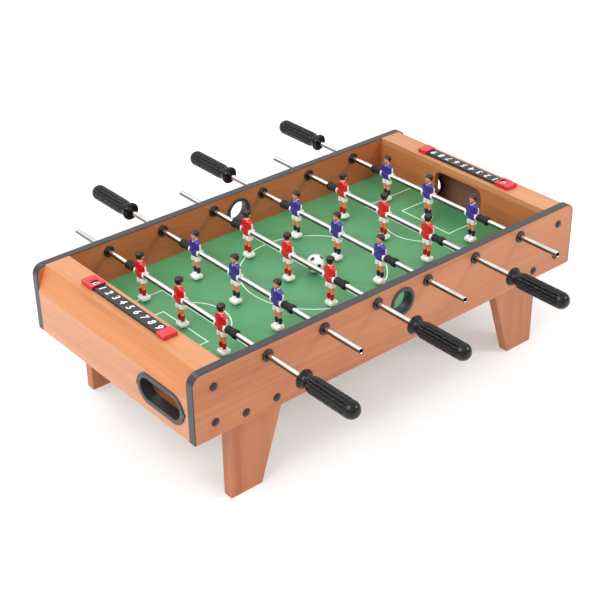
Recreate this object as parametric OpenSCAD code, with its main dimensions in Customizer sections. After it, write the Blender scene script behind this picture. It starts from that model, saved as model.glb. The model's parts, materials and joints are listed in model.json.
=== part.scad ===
// Tabletop foosball table: a low cabinet on four board legs, six rods and three figures on each rod.
// X runs along the cabinet, Y along the rods and Z is up.
// The origin is on the floor under the middle of the cabinet.
// The table looks the same after half a turn about Z, so each end and side is drawn once and turned.

/* [Cabinet] */
// Length of the cabinet
table_len = 690; // [680:2:720]
// Width of the cabinet over its two side panels
table_w = 364; // [356:2:380]
// Height of the side panels' top edge above the floor
top_z = 218; // [216:1:226]
// Height of the side panels' bottom edge above the floor
base_z = 119; // [100:1:122]
// Thickness of a side panel
panel_t = 12; // [12:1:14]
// Radius of a side panel's top corners
corner_r = 15; // [8:1:16]
// Thickness of the edge band on the top and ends of a side panel
band_t = 1.5; // [1:0.5:3]
// Thickness of the end boards and the goal walls
board_t = 9; // [6:1:10]
// Height where the end's upright face turns into the bevel
bevel_z = 182; // [180:1:190]
// How far the bevel leans in along the cabinet
bevel_w = 15; // [13:1:20]

/* [Pitch] */
// Distance from the middle of the cabinet to a goal wall's pitch side
goal_x = 293; // [288:1:298]
// Height of the playing surface
field_z = 156; // [150:1:157]
// Thickness of the playing board
field_t = 5; // [3:1:8]
// Width of a goal mouth
goal_w = 98; // [80:2:110]
// Height of a goal mouth
goal_h = 48; // [40:1:50]
// Radius of a goal mouth's top corners
goal_r = 14; // [8:1:18]
// Radius of the ball
ball_r = 13.5; // [12:0.5:13.5]

/* [Legs] */
// Width of a leg at the floor
leg_foot_w = 50; // [40:1:60]
// Width of a leg at its top
leg_top_w = 89; // [80:1:95]
// Thickness of a leg board
leg_t = 15; // [12:1:18]
// Distance from the middle of the cabinet to a leg's upright edge
leg_x = 286; // [280:1:288]

/* [Rods] */
// Distance between neighbouring rods
rod_pitch = 92; // [90:0.5:94]
// Height of the rods' axes
rod_z = 202; // [202:0.5:203]
// Outer radius of a rod's tube
tube_r = 4; // [3.5:0.25:4]
// Wall of a rod's tube
tube_wall = 0.8; // [0.6:0.1:1.5]
// Distance from the middle of a rod to its bare end
bare_end_y = 251; // [240:1:260]
// Distance from the middle of a rod to its handle's flange
handle_y = 250; // [244:1:256]
// Length of a handle
handle_len = 95; // [85:1:100]
// Radius of a handle's grip
grip_r = 11.8; // [10:0.2:13]
// Radius of a handle's flange
flange_r = 13.2; // [13:0.2:15]
// Length of a rubber bumper
bumper_len = 20; // [14:1:20]
// Radius of a rubber bumper
bumper_r = 6.5; // [5.6:0.1:7]

/* [Figures] */
// Distance between neighbouring figures on a rod
figure_pitch = 90; // [84:1:90]
// Height of a figure's head above the rod
head_up = 35; // [33:0.5:36]
// Depth of a figure's sole below the rod
foot_down = 41.7; // [40:0.1:41.7]
// Width of a figure across its arms
figure_w = 23; // [23:0.5:24]

/* [Ball ways] */
// Height of the serving holes' centres
serve_z = 186.5; // [184:0.5:190]
// Radius of the opening in a serving hole's ring
serve_r = 16; // [15:0.5:17]
// Distance of a ball return's centre from the middle of its end board
return_y = 113.5; // [105:0.5:114]
// Height of a ball return's centre
return_z = 155; // [150:0.5:156]
// Length of a ball return's opening
return_len = 84; // [70:1:84]
// Height of a ball return's opening
return_h = 31; // [30:1:32]

/* [Scorers] */
// Distance between neighbouring numbers on a scorer
digit_pitch = 16; // [15:0.5:16]
// Width of a scorer's rail
rail_w = 18; // [14:1:20]
// Height of a scorer's rail
rail_h = 4; // [3:0.5:5]
// Distance of a scorer's middle line from the middle of the cabinet
score_x = 310.5; // [309:0.5:312]

/* [Hidden] */
$fn = 64;
rods = 6;
half_len = table_len / 2;
half_w = table_w / 2;
inner_y = half_w - panel_t;
slack = 0.05;
over = 1;

// Running clearance of the turning and sliding rods
running_gap = 0.08;
// Gap between bodies that slide past each other
side_gap = 0.3;
rod_bore_r = tube_r + running_gap;
bush_r = 6.5;
bush_rim_r = 8.5;
bush_rim_t = 2.5;

// Bolts: two into each corner block and two into each leg
block_bolt_x = 313.5;
leg_bolt_x = [leg_x - leg_top_w / 2 - 24.5, leg_x - leg_top_w / 2 + 24.5];
quarter_bolts = [[block_bolt_x, 193], [block_bolt_x, 141], [leg_bolt_x[0], 133], [leg_bolt_x[1], 133]];
bolt_places = [for (sx = [-1, 1]) for (p = quarter_bolts) [sx * p[0], p[1]]];
bolt_r = 2.5;
bolt_head_r = 5.8;
bolt_head_h = 3;
bolt_len = panel_t + 9;

// Corner blocks and ball tray inside the ends
block_w = 20;
block_t = 11;
tray_t = 5;
tray_z = 132;

// Serving hole rings, in two halves that meet inside the panel
serve_sleeve_r = serve_r + 2;
serve_rim_r = serve_r + 5;
serve_rim_t = 2;

// Ball return ring and its screws
return_r = return_h / 2;
return_run = return_len / 2 - return_r;
return_sleeve_r = return_r + 2;
return_rim_r = return_r + 7;
return_rim_t = 2;
return_sleeve_len = 14;
ear_y = 46;
ear_r = 5;
screw_r = 1.2;
screw_head_r = 2.4;

// Scorer: short cap, slider over the first number, nine steps, long cap
cap_short = 10;
cap_long = 17;
score_len = cap_short + cap_long + 9 * digit_pitch + cap_long;
score_end = score_len / 2;
slider_len = cap_long - 2 * side_gap;
slider_y = score_end - cap_short - cap_long / 2;
slider_w = rail_w + 4;
slider_h = rail_h + 2.5;
window_w = 11;

// Rod pieces
leg_end_z = field_z - field_t - 1;
handle_bore_len = 82;
bumper_y = figure_pitch + figure_w / 2 + 0.4 + bumper_len / 2;

wood = "sandybrown";
wood_inside = "peru";
black = [0.14, 0.15, 0.16];

// Upright sheet in the XZ plane, from y0 on, t thick
module xz_sheet(y0, t) {
    translate([0, y0 + t, 0])
        rotate([90, 0, 0])
            linear_extrude(t)
                children();
}

// Upright sheet in the YZ plane, from x0 on, t thick
module yz_sheet(x0, t) {
    translate([x0, 0, 0])
        rotate([90, 0, 90])
            linear_extrude(t)
                children();
}

// Round bar along Y
module y_bar(r, y0, len) {
    translate([0, y0, 0])
        rotate([-90, 0, 0])
            cylinder(r = r, h = len);
}

// Turned piece about the Y axis, from an outline of [radius, y] points
module y_turned(outline) {
    rotate([-90, 0, 0])
        rotate_extrude()
            polygon(outline);
}

// The same piece on the other side or end of the table
module half_turn() {
    rotate([0, 0, 180])
        children();
}

function rod_x(i) = (i - (rods + 1) / 2) * rod_pitch;

// ---- Side panels ----

// Panel outline with rounded top corners, inset all round but the bottom
module panel_outline(inset, drop) {
    hx = half_len - inset;
    zt = top_z - inset;
    r = corner_r - inset;
    translate([-hx, base_z - drop])
        square([2 * hx, zt - r - base_z + drop]);
    translate([r - hx, base_z - drop])
        square([2 * (hx - r), zt - base_z + drop]);
    for (sx = [-1, 1])
        translate([sx * (hx - r), zt - r])
            circle(r);
}

module bolt_holes(y0, len) {
    for (p = bolt_places)
        translate([p[0], 0, p[1]])
            y_bar(bolt_r + slack, y0, len);
}

module side_panel() {
    color(wood)
        difference() {
            xz_sheet(-half_w, panel_t)
                panel_outline(band_t, 0);
            for (i = [1:rods])
                translate([rod_x(i), 0, rod_z])
                    y_bar(bush_r + slack, -half_w - over, panel_t + 2 * over);
            translate([0, 0, serve_z])
                y_bar(serve_sleeve_r + slack, -half_w - over, panel_t + 2 * over);
            bolt_holes(-half_w - over, panel_t + 2 * over);
        }
}

module edge_band() {
    color(black)
        xz_sheet(-half_w, panel_t)
            difference() {
                panel_outline(0, 0);
                panel_outline(band_t, over);
            }
}

// ---- Ends: upright board, bevel and top board folded round each end with mitred seams ----

end_outer = [
    [-half_len, base_z],
    [-half_len, bevel_z],
    [bevel_w - half_len, top_z],
    [-goal_x, top_z]
];

function inward(a, b) = let (d = (b - a) / norm(b - a)) [d[1], -d[0]];
function mitre(n, m) = board_t * (n + m) / (1 + n * m);

end_normals = [for (k = [0:2]) inward(end_outer[k], end_outer[k + 1])];
end_inner = [
    end_outer[0] + board_t * end_normals[0],
    end_outer[1] + mitre(end_normals[0], end_normals[1]),
    end_outer[2] + mitre(end_normals[1], end_normals[2]),
    end_outer[3] + board_t * end_normals[2]
];

module end_piece(k) {
    xz_sheet(-inner_y, 2 * inner_y)
        polygon([end_outer[k], end_outer[k + 1], end_inner[k + 1], end_inner[k]]);
}

// Long rounded outline of the ball return, in Y and Z
module return_outline(r) {
    translate([-return_run, -r])
        square([2 * return_run, 2 * r]);
    for (sy = [-1, 1])
        translate([sy * return_run, 0])
            circle(r);
}

module return_screw_holes(x0, len) {
    for (sy = [-1, 1])
        translate([x0, sy * ear_y, 0])
            rotate([0, 90, 0])
                cylinder(r = screw_r + slack, h = len);
}

module end_board() {
    color(wood)
        difference() {
            end_piece(0);
            translate([0, -return_y, return_z]) {
                yz_sheet(-half_len - over, board_t + 2 * over)
                    return_outline(return_sleeve_r + slack);
                return_screw_holes(-half_len - over, board_t + 2 * over);
            }
        }
}

module end_bevel() {
    color(wood)
        end_piece(1);
}

module end_top() {
    color(wood)
        end_piece(2);
}

module goal_wall() {
    color(wood_inside)
        yz_sheet(-goal_x - board_t, board_t)
            difference() {
                translate([-inner_y, base_z])
                    square([2 * inner_y, top_z - board_t - base_z]);
                translate([-goal_w / 2, field_z])
                    square([goal_w, goal_h - goal_r]);
                translate([goal_r - goal_w / 2, field_z])
                    square([goal_w - 2 * goal_r, goal_h]);
                for (sy = [-1, 1])
                    translate([sy * (goal_w / 2 - goal_r), field_z + goal_h - goal_r])
                        circle(goal_r);
            }
}

module playfield() {
    color("seagreen")
        translate([-goal_x, -inner_y, field_z - field_t])
            cube([2 * goal_x, 2 * inner_y, field_t]);
}

// ---- Legs and what stiffens the ends ----

module leg(sx, sy) {
    y0 = sy > 0 ? inner_y - leg_t : -inner_y;
    edge = [
        [leg_x, 0],
        [leg_x - leg_foot_w, 0],
        [leg_x - leg_top_w, base_z],
        [leg_x - leg_top_w, leg_end_z],
        [leg_x, leg_end_z]
    ];
    color(wood)
        difference() {
            xz_sheet(y0, leg_t)
                polygon([for (p = edge) [sx * p[0], p[1]]]);
            bolt_holes(y0 - over, leg_t + 2 * over);
        }
}

module corner_blocks() {
    color(wood_inside)
        for (sx = [-1, 1])
            for (sy = [-1, 1])
                difference() {
                    translate([
                        sx > 0 ? goal_x + board_t : -goal_x - board_t - block_w,
                        sy > 0 ? inner_y - block_t : -inner_y,
                        tray_z + tray_t
                    ])
                        cube([block_w, block_t, top_z - board_t - 3 - tray_z - tray_t]);
                    bolt_holes(-inner_y - over, 2 * inner_y + 2 * over);
                }
}

module ball_tray() {
    color(wood_inside)
        translate([board_t - half_len, -inner_y, tray_z])
            cube([half_len - goal_x - 2 * board_t, 2 * inner_y, tray_t]);
}

module panel_bolt() {
    dome_r = (bolt_head_r * bolt_head_r + bolt_head_h * bolt_head_h) / (2 * bolt_head_h);
    y_bar(bolt_r, -half_w - slack, bolt_len);
    intersection() {
        y_bar(bolt_head_r, -half_w - bolt_head_h - over, bolt_head_h + over);
        translate([0, dome_r - half_w - bolt_head_h, 0])
            sphere(dome_r);
    }
}

module panel_bolts() {
    color(black)
        for (turn = [0, 180])
            rotate([0, 0, turn])
                for (p = bolt_places)
                    translate([p[0], 0, p[1]])
                        panel_bolt();
}

// ---- Bushes and rings: flanged halves that meet inside the board ----

module half_sleeve(bore_r, sleeve_r, rim_r, rim_t) {
    edge = 0.6;
    half_t = panel_t / 2;
    y_turned([
        [bore_r, slack],
        [sleeve_r, slack],
        [sleeve_r, half_t],
        [rim_r, half_t],
        [rim_r, half_t + rim_t - edge],
        [rim_r - edge, half_t + rim_t],
        [bore_r, half_t + rim_t]
    ]);
}

module sleeve_pair(bore_r, sleeve_r, rim_r, rim_t) {
    translate([0, panel_t / 2 - half_w, 0])
        for (turn = [0, 180])
            rotate([0, 0, turn])
                half_sleeve(bore_r, sleeve_r, rim_r, rim_t);
}

module rod_bushes() {
    color(black)
        for (i = [1:rods])
            translate([rod_x(i), 0, rod_z])
                sleeve_pair(rod_bore_r, bush_r, bush_rim_r, bush_rim_t);
}

module serve_ring() {
    color(black)
        translate([0, 0, serve_z])
            sleeve_pair(serve_r, serve_sleeve_r, serve_rim_r, serve_rim_t);
}

module return_ring() {
    face_x = -half_len - return_rim_t;
    color(black)
        translate([0, -return_y, return_z])
            difference() {
                union() {
                    yz_sheet(face_x, return_rim_t) {
                        return_outline(return_rim_r);
                        for (sy = [-1, 1])
                            translate([sy * (ear_y + 0.5), 0])
                                circle(ear_r);
                    }
                    yz_sheet(face_x + 0.5, return_rim_t + return_sleeve_len)
                        return_outline(return_sleeve_r);
                }
                yz_sheet(face_x - over, return_rim_t + return_sleeve_len + 3 * over)
                    return_outline(return_r);
                return_screw_holes(face_x - over, return_rim_t + 2 * over);
            }
}

module return_ring_screws() {
    head_h = 0.9;
    color("dimgray")
        for (turn = [0, 180])
            rotate([0, 0, turn])
                for (sy = [-1, 1])
                    translate([-half_len - return_rim_t, sy * ear_y - return_y, return_z])
                        rotate([0, 90, 0]) {
                            translate([0, 0, -head_h])
                                cylinder(r = screw_head_r, h = head_h);
                            translate([0, 0, -slack])
                                cylinder(r = screw_r, h = return_rim_t + board_t - over);
                        }
}

// ---- Scorers ----

module score_rail() {
    color(black)
        translate([-score_x - rail_w / 2, cap_long - score_end, top_z])
            cube([rail_w, score_len - cap_short - cap_long, rail_h]);
}

module score_caps() {
    color("crimson") {
        translate([-score_x - slider_w / 2, -score_end, top_z])
            cube([slider_w, cap_long, slider_h]);
        translate([-score_x - slider_w / 2, score_end - cap_short, top_z])
            cube([slider_w, cap_short, slider_h]);
    }
}

module score_slider() {
    color("crimson")
        translate([-score_x, slider_y, top_z])
            difference() {
                translate([-slider_w / 2, -slider_len / 2, side_gap])
                    cube([slider_w, slider_len, slider_h - side_gap]);
                translate([-rail_w / 2 - side_gap, -slider_len / 2 - over, 0])
                    cube([rail_w + 2 * side_gap, slider_len + 2 * over, rail_h + side_gap]);
                translate([-window_w / 2, -window_w / 2, 0])
                    cube([window_w, window_w, slider_h + over]);
            }
}

// ---- Ball, midway between the middle rods, where the feet of both can just turn past it ----

module ball() {
    color("white")
        translate([0, -5, field_z + side_gap + ball_r])
            sphere(ball_r);
}

// ---- Rods. Odd rods have their handle at the front and figures facing +X, even rods the reverse ----

module on_rod(i) {
    translate([rod_x(i), 0, rod_z])
        rotate([0, 0, i % 2 == 1 ? 0 : 180])
            children();
}

module tube(i) {
    len = bare_end_y + handle_y + handle_bore_len;
    color("gainsboro")
        on_rod(i)
            difference() {
                y_bar(tube_r, bare_end_y - len, len);
                y_bar(tube_r - tube_wall, bare_end_y - len - over, len + 2 * over);
            }
}

// Handle outline, out from the flange: flange, cone, neck, shoulder, straight grip and domed end
module handle(i) {
    neck_r = 7.5;
    dome = 10;
    edge = 0.8;
    color(black)
        on_rod(i)
            difference() {
                union() {
                    y_turned([
                        [0, -handle_y],
                        [flange_r - edge, -handle_y],
                        [flange_r, -handle_y - edge],
                        [flange_r, -handle_y - 3],
                        [neck_r, -handle_y - 8],
                        [neck_r, -handle_y - 11],
                        [grip_r - 1.3, -handle_y - 15],
                        [grip_r, -handle_y - 19],
                        [grip_r, dome - handle_y - handle_len],
                        [0, dome - handle_y - handle_len]
                    ]);
                    intersection() {
                        y_bar(grip_r, -handle_y - handle_len - over, dome + 2 * over);
                        translate([0, dome_back(dome) - handle_y - handle_len, 0])
                            sphere(dome_back(dome));
                    }
                }
                y_bar(tube_r + slack, -handle_y - handle_bore_len - slack, handle_bore_len + over);
            }
}

// Radius of the sphere that closes a bar of the grip's radius in a dome of the given height
function dome_back(h) = (grip_r * grip_r + h * h) / (2 * h);

module bumpers(i) {
    h = bumper_len / 2;
    edge = 0.7;
    waist_r = bumper_r - 0.9;
    color(black)
        on_rod(i)
            for (sy = [-1, 1])
                translate([0, sy * bumper_y, 0])
                    y_turned([
                        [rod_bore_r, -h],
                        [bumper_r - edge, -h],
                        [bumper_r, edge - h],
                        [bumper_r, 4 - h],
                        [waist_r, 5 - h],
                        [waist_r, h - 5],
                        [bumper_r, h - 4],
                        [bumper_r, h - edge],
                        [bumper_r - edge, h],
                        [rod_bore_r, h]
                    ]);
}

// One figure that faces +X, with the rod's axis at its origin
module figure() {
    half_d = 5;
    head_r = 6.4;
    arm_r = 2.7;
    sole_r = 3;
    sole_t = 6;
    sole_x = [-6, 8.5];
    sole_y = 7.5;
    difference() {
        union() {
            // Flat sole block with rounded corners
            translate([0, 0, -foot_down])
                linear_extrude(sole_t) {
                    translate([sole_x[0], sole_r - sole_y])
                        square([sole_x[1] - sole_x[0], 2 * (sole_y - sole_r)]);
                    translate([sole_x[0] + sole_r, -sole_y])
                        square([sole_x[1] - sole_x[0] - 2 * sole_r, 2 * sole_y]);
                    for (x = [sole_x[0] + sole_r, sole_x[1] - sole_r])
                        for (sy = [-1, 1])
                            translate([x, sy * (sole_y - sole_r)])
                                circle(sole_r);
                }
            // Legs
            for (sy = [-1, 1])
                translate([0, sy * 3.8, -foot_down + 1])
                    cylinder(r = 3.3, h = foot_down - 15);
            // Shorts
            translate([-half_d, -7.8, -17])
                cube([2 * half_d, 15.6, 14]);
            // Shirt
            yz_sheet(-half_d, 2 * half_d)
                polygon([[-7, -6], [7, -6], [9.5, 14], [6, 19], [-6, 19], [-9.5, 14]]);
            // Arms, hanging to the rod
            for (sy = [-1, 1])
                translate([0, sy * (figure_w / 2 - arm_r), -3]) {
                    cylinder(r = arm_r, h = 18);
                    translate([0, 0, 18])
                        sphere(arm_r);
                }
            // Boss that grips the rod
            y_bar(tube_r + 1.8, -figure_w / 2, figure_w);
            // Neck and head
            translate([0, 0, 17])
                cylinder(r = 2.8, h = 7);
            translate([0, 0, head_up - head_r])
                sphere(head_r);
        }
        y_bar(tube_r + slack / 2, -figure_w / 2 - over, figure_w + 2 * over);
    }
}

module players(i) {
    color(i % 2 == 1 ? "red" : "mediumblue")
        on_rod(i)
            for (k = [-1:1])
                translate([0, k * figure_pitch, 0])
                    figure();
}

side_panel();  // side_panel_front
half_turn() side_panel();  // side_panel_back
edge_band();  // edge_band_front
half_turn() edge_band();  // edge_band_back
end_board();  // end_board_left
half_turn() end_board();  // end_board_right
end_bevel();  // end_bevel_left
half_turn() end_bevel();  // end_bevel_right
end_top();  // end_top_left
half_turn() end_top();  // end_top_right
goal_wall();  // goal_wall_left
half_turn() goal_wall();  // goal_wall_right
playfield();
leg(-1, -1);  // leg_front_left
leg(1, -1);  // leg_front_right
leg(-1, 1);  // leg_back_left
leg(1, 1);  // leg_back_right
corner_blocks();
ball_tray();  // ball_tray_left
half_turn() ball_tray();  // ball_tray_right
panel_bolts();
rod_bushes();  // rod_bushes_front
half_turn() rod_bushes();  // rod_bushes_back
serve_ring();  // serve_ring_front
half_turn() serve_ring();  // serve_ring_back
return_ring();  // return_ring_left
half_turn() return_ring();  // return_ring_right
return_ring_screws();
score_rail();  // score_rail_left
half_turn() score_rail();  // score_rail_right
score_caps();  // score_caps_left
half_turn() score_caps();  // score_caps_right
score_slider();  // score_slider_left
half_turn() score_slider();  // score_slider_right
ball();
for (i = [1:rods]) tube(i);
for (i = [1:rods]) handle(i);
for (i = [1:rods]) bumpers(i);
for (i = [1:rods]) players(i);
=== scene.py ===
"""Looks of a tabletop foosball table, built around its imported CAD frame.

X runs along the cabinet, Y along the rods and Z is up, in metres. Detailed pieces are drawn in millimetres in
a local frame of their own and set in place by a matrix. Everything looks the same after half a turn about Z.
"""

import json
import math

import bmesh
import bpy
from mathutils import Euler, Matrix, Vector


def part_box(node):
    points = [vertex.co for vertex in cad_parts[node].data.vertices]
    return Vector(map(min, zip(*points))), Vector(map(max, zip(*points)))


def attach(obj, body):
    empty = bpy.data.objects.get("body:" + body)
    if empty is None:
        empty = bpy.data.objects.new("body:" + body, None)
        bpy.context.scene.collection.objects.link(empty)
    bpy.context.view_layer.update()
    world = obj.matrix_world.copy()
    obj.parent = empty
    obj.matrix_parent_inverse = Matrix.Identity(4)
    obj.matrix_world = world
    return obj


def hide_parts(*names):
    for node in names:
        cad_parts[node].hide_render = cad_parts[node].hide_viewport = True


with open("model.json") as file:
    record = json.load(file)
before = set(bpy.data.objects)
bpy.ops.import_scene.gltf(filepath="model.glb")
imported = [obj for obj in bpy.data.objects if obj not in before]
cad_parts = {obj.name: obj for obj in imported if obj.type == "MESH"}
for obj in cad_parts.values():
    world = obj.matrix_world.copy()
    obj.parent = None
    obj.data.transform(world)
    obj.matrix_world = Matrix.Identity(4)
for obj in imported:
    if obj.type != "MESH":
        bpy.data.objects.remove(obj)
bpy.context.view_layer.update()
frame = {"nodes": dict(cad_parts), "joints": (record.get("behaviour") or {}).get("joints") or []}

MM = 0.001
HALF_TURN = Matrix.Rotation(math.pi, 4, "Z")
# Where a piece drawn for the front side or the left end goes for each side or end
SIDES = {"front": Matrix.Identity(4), "back": HALF_TURN}
ENDS = {"left": Matrix.Identity(4), "right": HALF_TURN}

# ---- Places taken from the frame ----

band_lo, band_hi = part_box("edge_band_front")
_, field_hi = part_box("playfield")
ring_lo, ring_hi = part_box("serve_ring_front")
rail_lo, rail_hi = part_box("score_rail_left")
ball_lo, ball_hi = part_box("ball")
handle_lo, handle_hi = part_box("handle_1")
bumper_lo, bumper_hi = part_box("bumpers_1")
tube_lo, tube_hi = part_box("tube_1")
figure_lo, figure_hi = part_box("players_1")

# Millimetres: the front panel's outer face, its thickness, and holes round the 8 mm tubes
PANEL_Y = band_lo.y / MM
PANEL_T = (band_hi.y - band_lo.y) / MM
SLIDING_BORE = 4.08
GRIPPING_BORE = 4.05
# Each rod's body and a point on its axis, in metres
RODS = {j["child"]: Vector(j["pos_m"]) for j in frame["joints"] if j["name"].endswith("_spin")}


# ---- Materials ----

class Paint:
    """One material's node tree, with a short call for each kind of node it uses."""

    def __init__(self, name, color=(0.8, 0.8, 0.8), roughness=0.5, **sockets):
        self.material = bpy.data.materials.new(name)
        self.material.use_nodes = True
        self.material.diffuse_color = (*color, 1)
        self.tree = self.material.node_tree
        self.shader = self.tree.nodes["Principled BSDF"]
        self.shader.inputs["Base Color"].default_value = (*color, 1)
        self.shader.inputs["Roughness"].default_value = roughness
        for socket, value in sockets.items():
            self.shader.inputs[socket.replace("_", " ")].default_value = value

    def add(self, kind, **values):
        node = self.tree.nodes.new(kind)
        for key, value in values.items():
            setattr(node, key, value)
        return node

    def feed(self, value, socket):
        if isinstance(value, (int, float)):
            socket.default_value = value
        elif isinstance(value, tuple):
            socket.default_value = (*value, 1) if len(value) == 3 and socket.type == "RGBA" else value
        else:
            self.tree.links.new(value, socket)

    def place(self, scale):
        """The piece's own coordinates in metres, multiplied by scale."""
        mapping = self.add("ShaderNodeMapping")
        self.feed(self.add("ShaderNodeTexCoord").outputs["Object"], mapping.inputs["Vector"])
        mapping.inputs["Scale"].default_value = scale if isinstance(scale, tuple) else (scale,) * 3
        return mapping.outputs["Vector"]

    def noise(self, scale, detail=3.0, rough=0.5, distortion=0.0):
        node = self.add("ShaderNodeTexNoise")
        self.feed(self.place(scale), node.inputs["Vector"])
        node.inputs["Scale"].default_value = 1.0
        node.inputs["Detail"].default_value = detail
        node.inputs["Roughness"].default_value = rough
        node.inputs["Distortion"].default_value = distortion
        return node.outputs["Fac"]

    def ramp(self, value, *stops):
        """A colour ramp; each stop is (position, colour or grey)."""
        node = self.add("ShaderNodeValToRGB")
        elements = node.color_ramp.elements
        while len(elements) < len(stops):
            elements.new(0.5)
        for element, (position, colour) in zip(elements, stops):
            element.position = position
            element.color = (*colour, 1) if isinstance(colour, tuple) else (colour, colour, colour, 1)
        self.feed(value, node.inputs["Fac"])
        return node.outputs["Color"]

    def span(self, value, low, high):
        """value, from 0 to 1, spread over low to high."""
        node = self.add("ShaderNodeMapRange")
        self.feed(value, node.inputs["Value"])
        node.inputs["To Min"].default_value = low
        node.inputs["To Max"].default_value = high
        return node.outputs["Result"]

    def math(self, operation, a, b=0.0):
        node = self.add("ShaderNodeMath", operation=operation)
        self.feed(a, node.inputs[0])
        self.feed(b, node.inputs[1])
        return node.outputs[0]

    def mix(self, factor, a, b, blend="MIX"):
        node = self.add("ShaderNodeMix", data_type="RGBA", blend_type=blend)
        self.feed(factor, node.inputs["Factor"])
        self.feed(a, node.inputs["A"])
        self.feed(b, node.inputs["B"])
        return node.outputs["Result"]

    def finish(self, color=None, roughness=None, height=None, depth=0.0001, strength=1.0):
        if color is not None:
            self.feed(color, self.shader.inputs["Base Color"])
        if roughness is not None:
            self.feed(roughness, self.shader.inputs["Roughness"])
        if height is not None:
            bump = self.add("ShaderNodeBump")
            bump.inputs["Distance"].default_value = depth
            bump.inputs["Strength"].default_value = strength
            self.feed(height, bump.inputs["Height"])
            self.feed(bump.outputs["Normal"], self.shader.inputs["Normal"])
        return self.material


def linear(r, g, b):
    """A colour given as 0 to 255 screen values, as the linear values that shaders take."""
    return tuple(((c / 255 + 0.055) / 1.055) ** 2.4 if c > 10 else c / 255 / 12.92 for c in (r, g, b))


def wood_laminate(name, along, dark, middle, light, inside=None):
    """Printed beech-like foil with its grain along one axis.

    inside is how a board differs away from its outer side: "raw" is bare board, and the other choice darkens the inner
    side with painted shade for the inside of the box.
    """
    paint = Paint(name, middle, 0.4, Coat_Weight=0.12, Coat_Roughness=0.35)

    def stretched(lengthwise, across):
        return tuple(lengthwise if k == along else across for k in range(3))

    figure = paint.noise(stretched(2.0, 17.0), 4.0, 0.55, 0.8)
    streaks = paint.noise(stretched(5.0, 210.0), 5.0, 0.6)
    fibres = paint.noise(stretched(45.0, 1500.0), 3.0, 0.6)
    pores = paint.noise(stretched(110.0, 1400.0), 2.0, 0.5)
    blend = paint.math("ADD", paint.math("MULTIPLY", figure, 0.62), paint.math("MULTIPLY", streaks, 0.38))
    base = paint.ramp(blend, (0.34, dark), (0.5, middle), (0.66, light))
    fine = paint.ramp(fibres, (0.3, 0.9), (0.65, 1.0))
    dashes = paint.ramp(pores, (0.28, 0.78), (0.36, 1.0))
    colour = paint.mix(0.7, paint.mix(0.7, base, fine, "MULTIPLY"), dashes, "MULTIPLY")
    if inside == "raw":
        colour = paint.mix(facing(paint, 0, outward=True), hardboard(paint, tone=linear(166, 132, 112)), colour)
    elif inside == "painted_inner_shade":
        # Painted shade: the board's inner side is darkened for the shade inside the box
        painted_inner_shade = paint.mix(1.0, colour, (0.93, 0.80, 0.70), "MULTIPLY")
        colour = paint.mix(facing(paint, 1, outward=True), painted_inner_shade, colour)
    roughness = paint.span(streaks, 0.34, 0.5)
    return paint.finish(colour, roughness, paint.math("ADD", fibres, streaks), 0.00006, 0.35)


def moulded(name, colour, roughness, grain=2600.0, depth=0.00004, **sockets):
    """Injection-moulded plastic: a faint grain, slight colour drift and uneven gloss."""
    paint = Paint(name, colour, roughness, **sockets)
    drift = paint.noise(38.0, 3.0)
    darker = tuple(c * 0.84 for c in colour)
    lighter = tuple(min(1.0, c * 1.12 + 0.004) for c in colour)
    skin = paint.noise(grain, 2.0)
    mixed = paint.mix(drift, darker, lighter)
    gloss = paint.span(paint.noise(210.0, 4.0), roughness * 0.8, min(1.0, roughness * 1.25))
    return paint.finish(mixed, gloss, skin, depth, 0.5)


def chrome():
    """Bright plated steel tube with faint lengthwise drawing marks."""
    paint = Paint("chrome", (0.86, 0.86, 0.87), 0.12, Metallic=1.0)
    marks = paint.noise((1400.0, 12.0, 1400.0), 3.0)
    haze = paint.noise(60.0, 4.0)
    colour = paint.ramp(haze, (0.35, (0.70, 0.69, 0.69)), (0.65, (0.84, 0.83, 0.82)))
    # Painted reflection: the colour is darkened wherever the surface doesn't face up, for the dark side of the studio
    # mirrored there
    shade = paint.ramp(normal_along(paint, 2), (0.34, 0.27), (0.62, 1.0))
    colour = paint.mix(1.0, colour, shade, "MULTIPLY")
    return paint.finish(colour, paint.span(marks, 0.07, 0.17), marks, 0.00001, 0.3)


def rubber():
    paint = Paint("rubber", (0.01, 0.01, 0.011), 0.6, Specular_IOR_Level=0.35)
    bloom = paint.noise(90.0, 5.0)
    colour = paint.ramp(bloom, (0.3, (0.007, 0.007, 0.008)), (0.75, (0.018, 0.018, 0.018)))
    return paint.finish(colour, paint.span(bloom, 0.5, 0.75), paint.noise(1800.0, 2.0), 0.00008, 0.6)


def pitch_green():
    """Printed hardboard: green ink with soft mottling under a satin varnish."""
    green = linear(80, 151, 99)
    paint = Paint("pitch_green", green, 0.42, Coat_Weight=0.15, Coat_Roughness=0.3)
    mottle = paint.noise(9.0, 5.0, 0.6)
    grain = paint.noise(420.0, 3.0, 0.6)
    base = paint.ramp(mottle, (0.3, linear(72, 141, 91)), (0.55, green), (0.8, linear(88, 160, 107)))
    flecks = paint.ramp(grain, (0.25, 0.88), (0.6, 1.0))
    printed = paint.mix(0.8, base, flecks, "MULTIPLY")
    colour = paint.mix(facing(paint, 2), hardboard(paint, tone=linear(140, 98, 66)), printed)
    return paint.finish(colour, paint.span(grain, 0.36, 0.5), grain, 0.00003, 0.4)


def hardboard(paint, *, tone):
    """Colour of a board's raw side, with pressed fibres."""
    dark = tuple(c * 0.72 for c in tone)
    return paint.ramp(paint.noise(230.0, 5.0, 0.7), (0.3, dark), (0.7, tone))


def part_along(paint, vector, axis):
    """One component of a vector."""
    parts = paint.add("ShaderNodeSeparateXYZ")
    paint.feed(vector, parts.inputs[0])
    return parts.outputs[axis]


def normal_along(paint, axis):
    return part_along(paint, paint.add("ShaderNodeNewGeometry").outputs["Normal"], axis)


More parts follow.
